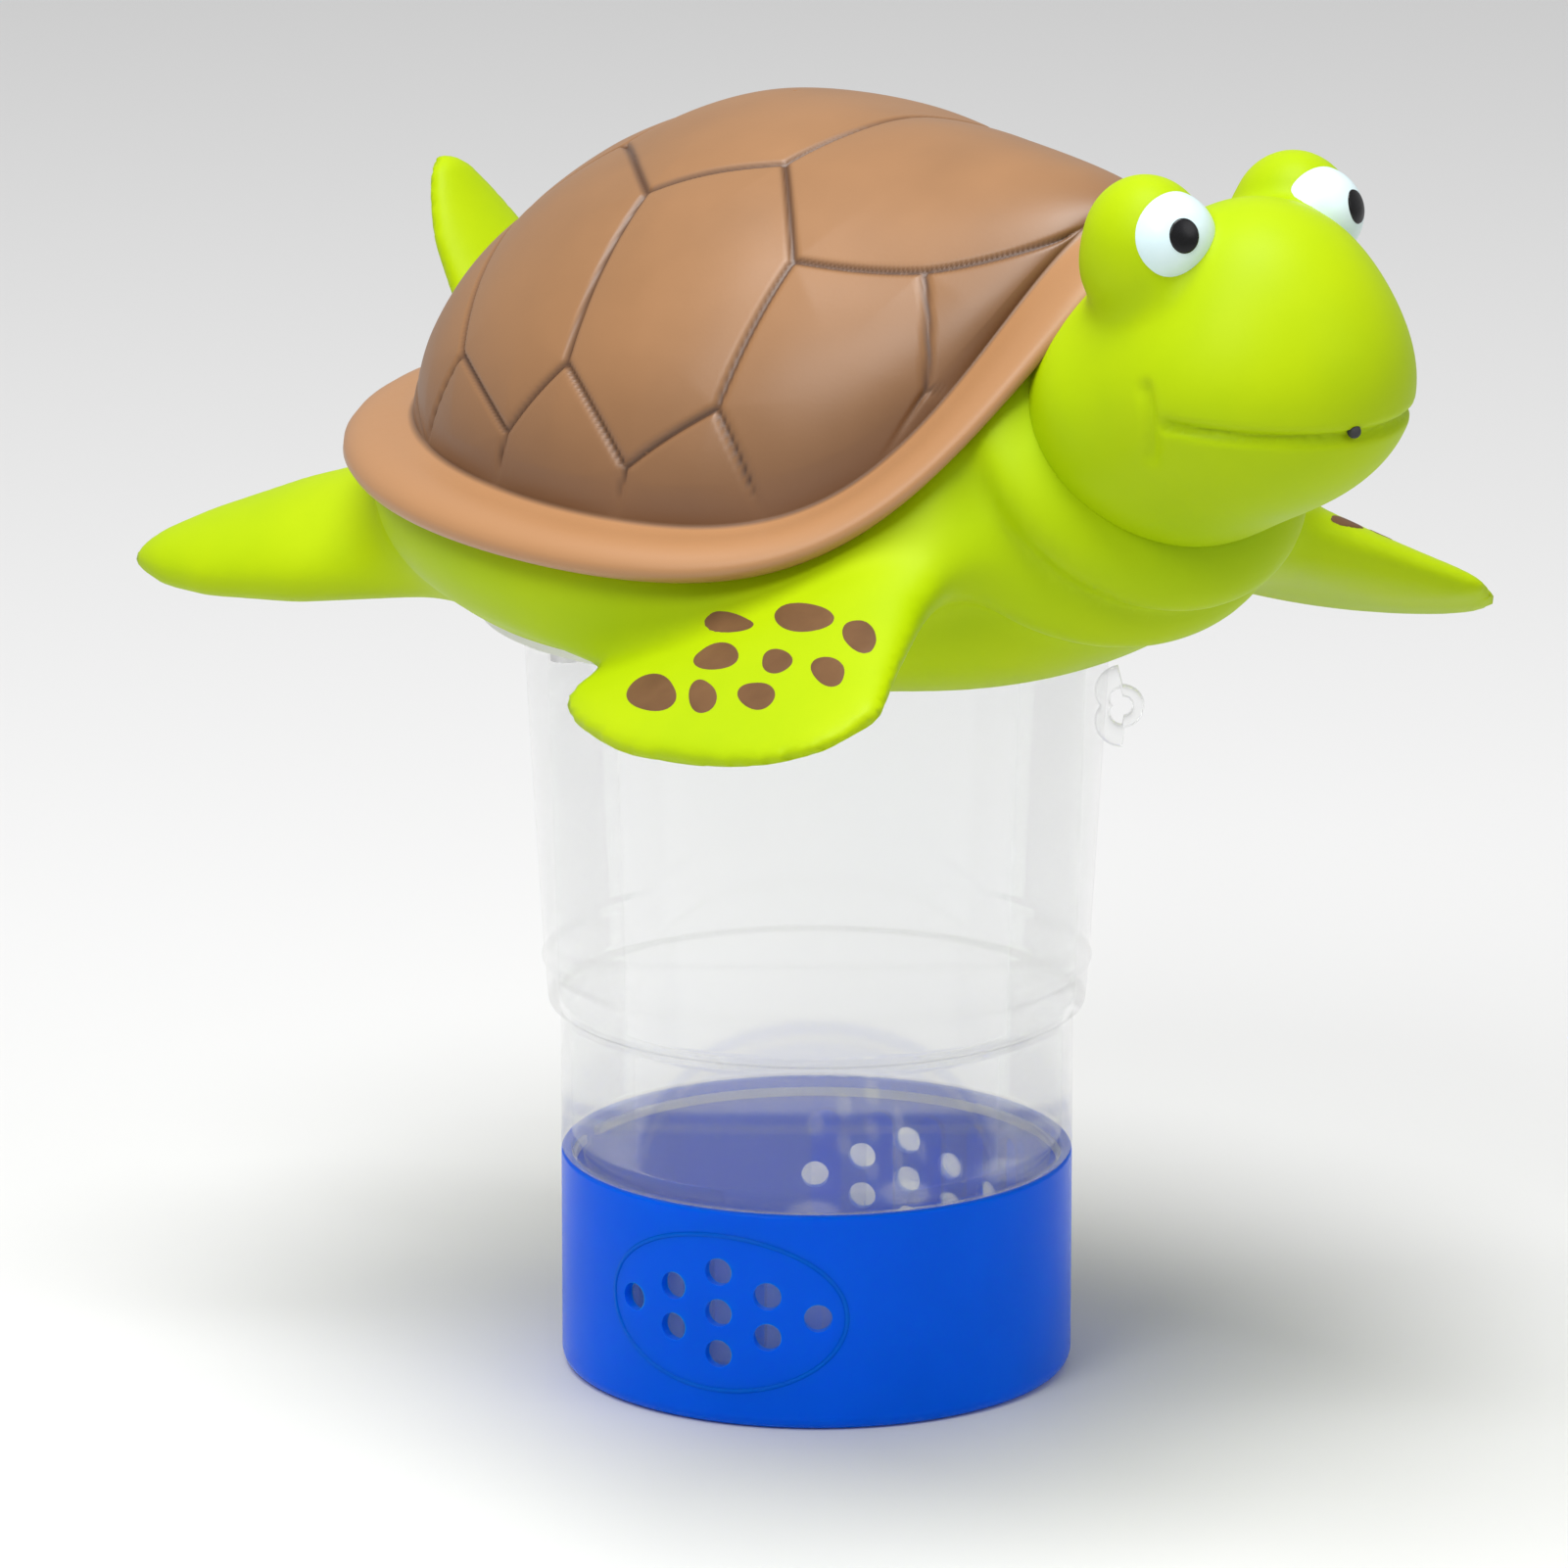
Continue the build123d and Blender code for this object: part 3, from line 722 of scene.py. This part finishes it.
def limb_frame(side):
    root, outward, chord = [np.asarray(v, float) for v in FRONT_LIMBS[side]]
    outward = outward / np.linalg.norm(outward)
    chord = chord - outward * np.dot(chord, outward)
    return root, outward, chord / np.linalg.norm(chord)


def spot(side, index):
    """One spot, laid on the upper skin of a front flipper as a thin raised disc."""
    reach, sweep, half_length, half_breadth = SPOTS[side][index]
    long_axis, short_axis = SPOT_AXES[side]
    root, outward, chord = limb_frame(side)
    upward = np.cross(chord, outward) * side + chord * SPOT_LEAN[side]
    upward /= np.linalg.norm(upward)
    rings, turns = 6, 40
    around = np.linspace(0, 2 * pi, turns, endpoint=False)
    wobble = 1 + 0.06 * np.sin(2 * around + index) + 0.05 * np.sin(3 * around + 2 * index)
    points = [root + outward * reach + chord * sweep]
    for ring in range(1, rings + 1):
        length = SPOT_SWELL * half_length * wobble * np.cos(around) * ring / rings
        breadth = SPOT_SWELL * half_breadth * wobble * np.sin(around) * ring / rings
        out = reach + long_axis[0] * length + short_axis[0] * breadth
        back = sweep + long_axis[1] * length + short_axis[1] * breadth
        for x, y in zip(out, back):
            points.append(root + outward * x + chord * y)
    points = np.array(points) + upward * 14
    for _ in range(60):
        step = np.clip(trunk_field(points), -3, 3)
        points = points - upward * (step * 0.8)[:, None]
    lift = np.full(len(points), SPOT_RAISE)
    lift[-turns:] = -0.05
    points = points + upward * lift[:, None]
    faces = []
    for k in range(turns):
        after = (k + 1) % turns
        faces.append((0, 1 + k, 1 + after))
        for ring in range(rings - 1):
            a, b = 1 + ring * turns, 1 + (ring + 1) * turns
            faces.append((a + k, b + k, b + after, a + after))
    return points, faces, upward


def spots():
    for side, name in ((1, "right"), (-1, "left")):
        all_points, all_faces = [], []
        for index in range(len(SPOTS[side])):
            points, faces, upward = spot(side, index)
            start = sum(len(p) for p in all_points)
            all_points.append(points)
            placed = to_frame(points)
            a, b, c = (placed[i] for i in faces[0])
            flip = np.dot(np.cross(b - a, c - a), to_frame(upward)) < 0
            all_faces += [tuple(start + i for i in (face[::-1] if flip else face)) for face in faces]
        add_mesh("flipper_spots_" + name, to_frame(np.concatenate(all_points)), all_faces, brown_spots,
                 "float")


def mouth_hole():
    """The little moulded air hole in the lips, with the plug sunk in it."""
    centre = np.array([153.1, 2.0, 212.0])
    points, faces = sphere_patch(centre, 1.3, (1, 0.05, 0), radians(150), 1.0, 10, 28)
    points = np.array(points)
    add_mesh("mouth_hole_plug", to_frame(points), fix_faces(points, faces, centre), PLAIN["seal"],
             "float", ["mouth_plug"])


def sphere_patch(centre, radius, look, spread_angle, tall=1.0, rings=14, turns=48):
    """A round patch of a sphere about the direction it looks, as points and quads."""
    look = Vector(look).normalized()
    side = look.cross(Vector((0, 0, 1))).normalized()
    up = side.cross(look)
    points = [Vector(centre) + look * radius]
    for ring in range(1, rings + 1):
        tilt = spread_angle * ring / rings
        for turn in range(turns):
            around = 2 * pi * turn / turns
            lean = side * cos(around) + up * sin(around) * tall
            direction = (look * cos(tilt) + lean * sin(tilt)).normalized()
            points.append(Vector(centre) + direction * radius)
    faces = []
    for turn in range(turns):
        after = (turn + 1) % turns
        faces.append((0, 1 + after, 1 + turn))
        for ring in range(rings - 1):
            a, b = 1 + ring * turns, 1 + (ring + 1) * turns
            faces.append((a + turn, a + after, b + after, b + turn))
    return [tuple(p) for p in points], faces


def eyes():
    for name, side in (("right", 1), ("left", -1)):
        centre = (EYE[0], side * EYE[1], EYE[2])
        points, faces = sphere_patch(centre, EYE_RADIUS, gaze(side), radians(140), 1.0, 40, 72)
        if side > 0:
            faces = [face[::-1] for face in faces]
        points = np.array(points)
        faces = fix_faces(points, faces, centre)
        add_mesh("eyeball_" + name, to_frame(points), faces, white_eye,
                 "float", ["eye_" + name])
        points, faces = sphere_patch(centre, EYE_RADIUS + 0.22, gaze(side), asin(2.9 / EYE_RADIUS), 1.15)
        points = np.array(points)
        rim = np.arange(len(points) - 48, len(points))
        points[rim] += (np.array(centre) - points[rim]) * 0.03
        faces = fix_faces(points, faces, centre)
        add_mesh("pupil_disc_" + name, to_frame(points), faces, black,
                 "float", ["pupil_" + name])


def fix_faces(points, faces, centre):
    """Winds the faces so that they look away from centre once they are in the frame."""
    placed = to_frame(points)
    middle = to_frame(np.array([centre]))[0]
    out = []
    for face in faces:
        a, b, c = (placed[face[i]] for i in (0, 1, 2))
        outward = np.dot(np.cross(b - a, c - a), a - middle) > 0
        out.append(face if outward else tuple(reversed(face)))
    return out


# ------------------------------------------------------------------ lathe pieces
def lathe(name, profile, turns, material, body, replaces=()):
    """A smooth solid of revolution from a closed profile of radius and height in millimetres."""
    profile = np.asarray(profile, float)
    count = len(profile)
    angle = np.linspace(0, 2 * pi, turns, endpoint=False)
    points = np.stack([
        np.outer(np.cos(angle), profile[:, 0]), np.outer(np.sin(angle), profile[:, 0]),
        np.outer(np.ones(turns), profile[:, 1])], -1).reshape(-1, 3)
    faces = []
    for i in range(turns):
        j = (i + 1) % turns
        for k in range(count):
            m = (k + 1) % count
            faces.append((i * count + k, j * count + k, j * count + m, i * count + m))
    obj = add_mesh(name, points * MM, faces, material, body, replaces)
    mesh = bmesh.new()
    mesh.from_mesh(obj.data)
    bmesh.ops.remove_doubles(mesh, verts=mesh.verts, dist=1e-7)
    bmesh.ops.recalc_face_normals(mesh, faces=mesh.faces)
    mesh.to_mesh(obj.data)
    mesh.free()
    return obj


def rounded(points, radii, steps=6):
    """A closed outline with each corner rounded by its radius."""
    out = []
    count = len(points)
    for i in range(count):
        corner = Vector(points[i])
        before = (Vector(points[i - 1]) - corner)
        after = (Vector(points[(i + 1) % count]) - corner)
        radius = radii[i]
        if radius <= 0:
            out.append(tuple(corner))
            continue
        angle = before.angle(after)
        back = min(radius / max(np.tan(angle / 2), 1e-6), before.length * 0.49, after.length * 0.49)
        start = corner + before.normalized() * back
        end = corner + after.normalized() * back
        for step in range(steps + 1):
            t = step / steps
            out.append(tuple(start * (1 - t) ** 2 + corner * 2 * t * (1 - t) + end * t ** 2))
    return out


def boolean(obj, cutters):
    """Cuts a list of closed meshes out of obj and bakes the result in."""
    group = bpy.data.collections.new(obj.name + "_cutters")
    bpy.context.scene.collection.children.link(group)
    for cutter in cutters:
        group.objects.link(cutter)
    modifier = obj.modifiers.new("cut", "BOOLEAN")
    modifier.operand_type = "COLLECTION"
    modifier.collection = group
    modifier.solver = "EXACT"
    depsgraph = bpy.context.evaluated_depsgraph_get()
    depsgraph.update()
    result = bpy.data.meshes.new_from_object(obj.evaluated_get(depsgraph))
    obj.modifiers.clear()
    obj.data = result
    for cutter in cutters:
        bpy.data.objects.remove(cutter)
    bpy.data.collections.remove(group)
    return obj


def stadium_peg(angle, radius, low, high, width, depth, steps=10):
    """A round-ended upright peg through a wall, pointing outward at an angle in degrees."""
    outline = []
    half = width / 2
    for end, start in ((high - half, 0), (low + half, pi)):
        for step in range(steps + 1):
            turn = start + pi * step / steps
            outline.append((half * cos(turn), end + half * sin(turn)))
    turn = radians(angle)
    points, faces = [], []
    for reach in (radius - depth / 2, radius + depth / 2):
        for across, height in outline:
            points.append((
                reach * cos(turn) - across * sin(turn), reach * sin(turn) + across * cos(turn), height))
    count = len(outline)
    faces.append(tuple(range(count - 1, -1, -1)))
    faces.append(tuple(range(count, 2 * count)))
    for i in range(count):
        j = (i + 1) % count
        faces.append((i, j, j + count, i + count))
    mesh = bpy.data.meshes.new("peg")
    mesh.from_pydata([(x * MM, y * MM, z * MM) for x, y, z in points], [], faces)
    obj = bpy.data.objects.new("peg", mesh)
    solid = bmesh.new()
    solid.from_mesh(mesh)
    bmesh.ops.recalc_face_normals(solid, faces=solid.faces)
    solid.to_mesh(mesh)
    solid.free()
    return obj


SLOT_MIDDLE = 20.7
SLOT_PITCH = 13.4
VENT_MIDDLE = 27.6
VENT_PITCH = 11.3
VENT_ROW = 8.2
VENT_HEIGHT = 22.7
VENT_RADIUS = 2.75
PANEL_HALF_ANGLE = 29.0
PANEL_HALF_HEIGHT = 15.5
PANEL_BEAD = 0.45
EYELET_ANGLE = -40.0
EYELET_HEIGHT = 131.5
EYELET_REACH = 59.2


def canister():
    wall = 2.0
    skirt = CUP_RADIUS - 2.3
    floor = TUBE_FLOOR
    outline = [
        (0.01, floor), (skirt, floor), (skirt, CUP_HEIGHT + 0.3), (CUP_RADIUS, CUP_HEIGHT + 0.3),
        (CUP_RADIUS, 72.5), (52.4, 73.5), (52.9, 80.4), (53.6, 82.1), (53.2, 83.8), (57.0, 150),
        (55.2, 151),
        (55.2, MOUTH_HEIGHT), (52.2, MOUTH_HEIGHT), (52.2, 146), (50.4, 74.5), (CUP_RADIUS - wall, 70.5),
        (CUP_RADIUS - wall, CUP_HEIGHT + 4), (skirt - wall, CUP_HEIGHT), (skirt - wall, floor + 2.2),
        (0.01, floor + 2.2),
    ]
    radii = [0, 1.2, 0.3, 0.7, 1.2, 1.0, 0.6, 0.6, 0.6, 0.8, 0.6, 0.9, 0.9, 2, 2, 2, 2, 2, 1.2, 0]
    tube = lathe(
        "canister_clear", rounded(outline, radii), 192, clear, "canister",
        ["canister_tube", "sieve_basket"])
    pegs = []
    for side in (0, 180):
        for index in range(5):
            pegs.append(stadium_peg(
                SLOT_MIDDLE + side + (index - 2) * SLOT_PITCH, skirt - 1, 14, 37, 6, 8))
    boolean(tube, pegs)
    crease_by_angle(tube, 32)
    return tube


def eyelet():
    """The lug for a tether, a flat ring standing on the tube's side."""
    turn = radians(EYELET_ANGLE)
    outward = Vector((cos(turn), sin(turn), 0))
    upward = Vector((0, 0, 1))
    across = upward.cross(outward)
    centre = outward * EYELET_REACH + upward * EYELET_HEIGHT
    rings, turns = 16, 56
    points, faces = [], []
    for i in range(turns):
        angle = 2 * pi * i / turns
        spoke = outward * cos(angle) + upward * sin(angle)
        tall = 1 + 0.9 * abs(sin(angle)) * (cos(angle) < 0)
        for j in range(rings):
            round_angle = 2 * pi * j / rings
            reach = 3.1 * tall + 1.25 * cos(round_angle) * tall
            points.append(centre + spoke * reach + across * (1.7 * sin(round_angle)))
    for i in range(turns):
        for j in range(rings):
            a, b = i * rings, ((i + 1) % turns) * rings
            k = (j + 1) % rings
            faces.append((a + j, b + j, b + k, a + k))
    points = [tuple(p * MM) for p in points]
    return add_mesh("tether_lug", points, faces, clear, "canister")


def panel_rims():
    """The fine raised edge round each oval group of vent holes."""
    rings, turns = 8, 120
    points, faces = [], []
    for side in (0, 180):
        start = len(points)
        for i in range(turns):
            around = 2 * pi * i / turns
            turn = radians(VENT_MIDDLE + side + PANEL_HALF_ANGLE * cos(around))
            outward = Vector((cos(turn), sin(turn), 0))
            height = VENT_HEIGHT + PANEL_HALF_HEIGHT * sin(around)
            sideways = Vector((-sin(turn), cos(turn), 0)) * cos(around) + Vector((0, 0, 1)) * sin(around)
            for j in range(rings):
                bead = 2 * pi * j / rings
                place = outward * (CUP_RADIUS + PANEL_BEAD * 0.5 * cos(bead)) + Vector((0, 0, height))
                points.append(tuple((place + sideways * PANEL_BEAD * sin(bead)) * MM))
        for i in range(turns):
            for j in range(rings):
                a, b = start + i * rings, start + ((i + 1) % turns) * rings
                k = (j + 1) % rings
                faces.append((a + j, b + j, b + k, a + k))
    return add_mesh("vent_panel_rims", points, faces, blue, "vent_cup")


def vent_cup():
    inside = CUP_RADIUS - 2
    outline = [
        (0.01, 6.2), (inside - 4.2, 6.2), (inside - 4.2, 0), (CUP_RADIUS, 0), (CUP_RADIUS, CUP_HEIGHT),
        (inside, CUP_HEIGHT), (inside, 8.6), (0.01, 8.6),
    ]
    radii = [0, 0, 0.4, 5.0, 0.7, 0.5, 1.0, 0]
    cup = lathe(
        "vent_cup_blue", rounded(outline, radii, 8), 192, blue, "vent_cup", ["vent_cup"])
    pegs = []
    for side in (0, 180):
        for column, count in enumerate((1, 2, 3, 2, 1)):
            for row in range(count):
                height = VENT_HEIGHT + (row - (count - 1) / 2) * VENT_ROW
                pegs.append(stadium_peg(
                    VENT_MIDDLE + side + (column - 2) * VENT_PITCH, CUP_RADIUS - 1,
                    height - VENT_RADIUS, height + VENT_RADIUS, 2 * VENT_RADIUS, 8, 12))
    boolean(cup, pegs)
    crease_by_angle(cup, 32)
    return cup


# ------------------------------------------------------------------ stage
AIM_AZIMUTH = -40.0
CAMERA_DISTANCE = 2.0
CAMERA_HEIGHT = 0.626
CAMERA_PITCH = 14.31
SIDE_STEP = 0.0064
LENS = 244.0


def stage():
    world = bpy.data.worlds.new("studio")
    bpy.context.scene.world = world
    world.use_nodes = True
    world.node_tree.nodes["Background"].inputs["Color"].default_value = (1, 1, 1, 1)
    world.node_tree.nodes["Background"].inputs["Strength"].default_value = 0.42
    floor_size = 6.0
    points = [(-floor_size, -floor_size, 0), (floor_size, -floor_size, 0),
              (floor_size, floor_size, 0), (-floor_size, floor_size, 0)]
    mesh = bpy.data.meshes.new("floor")
    mesh.from_pydata(points, [], [(0, 1, 2, 3)])
    floor = bpy.data.objects.new("floor", mesh)
    bpy.context.scene.collection.objects.link(floor)
    mesh.materials.append(new_material("floor_pale", (0.7, 0.7, 0.7), 0.6))


def area_light(name, azimuth, elevation, distance, size, power):
    data = bpy.data.lights.new(name, "AREA")
    data.shape = "DISK"
    data.size = size
    data.energy = power
    obj = bpy.data.objects.new(name, data)
    bpy.context.scene.collection.objects.link(obj)
    a, e = radians(azimuth), radians(elevation)
    middle = Vector((0, 0, 0.15))
    place = Vector((sin(a) * cos(e), -cos(a) * cos(e), sin(e))) * distance
    obj.location = middle + place
    obj.rotation_euler = place.to_track_quat("Z", "Y").to_euler()
    return obj


def lights():
    area_light("top", AIM_AZIMUTH - 20, 80, 2.4, 1.6, 62)
    area_light("key", AIM_AZIMUTH - 30, 42, 1.6, 0.6, 9)
    area_light("fill", AIM_AZIMUTH + 55, 30, 1.7, 0.9, 3)


def camera():
    data = bpy.data.cameras.new("camera")
    data.lens = LENS
    data.clip_end = 50
    obj = bpy.data.objects.new("camera", data)
    bpy.context.scene.collection.objects.link(obj)
    a = radians(AIM_AZIMUTH)
    toward = Vector((sin(a), -cos(a), 0))
    right = Vector((cos(a), sin(a), 0))
    obj.location = toward * CAMERA_DISTANCE - right * SIDE_STEP + Vector((0, 0, CAMERA_HEIGHT))
    obj.rotation_euler = Euler((radians(90 - CAMERA_PITCH), 0, a))
    bpy.context.scene.camera = obj


# ------------------------------------------------------------------ make everything
green = green_vinyl()
brown_shell = shell_material()
brown_spots = spot_brown()
white_eye = eye_white()
black = pupil_black()
blue = blue_plastic()
clear = clear_plastic()
PLAIN = {
    "screw_cap": white_plastic(), "seal": seal_rubber(), "steel": steel(), "foam": foam(),
}

camera()
stage()
lights()
carapace()
trunk()
head()
eyes()
mouth_hole()
spots()
canister()
eyelet()
vent_cup()
panel_rims()

NODE_MATERIALS = {
    "screw_cap": "screw_cap", "clamp_ring": "screw_cap", "cup_retaining_ring": "screw_cap",
    "mouth_gasket": "seal", "belly_gasket": "seal", "air_plug": "seal", "mouth_plug": "seal",
    "base_screws": "steel", "clamp_screws": "steel", "ballast_ring": "steel", "foam_core": "foam",
}
for node, material in NODE_MATERIALS.items():
    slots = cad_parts[node].material_slots
    for each in slots:
        each.material = PLAIN[material]
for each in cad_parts["base_cover"].material_slots:
    each.material = blue

bpy.context.scene.view_settings.view_transform = "Standard"
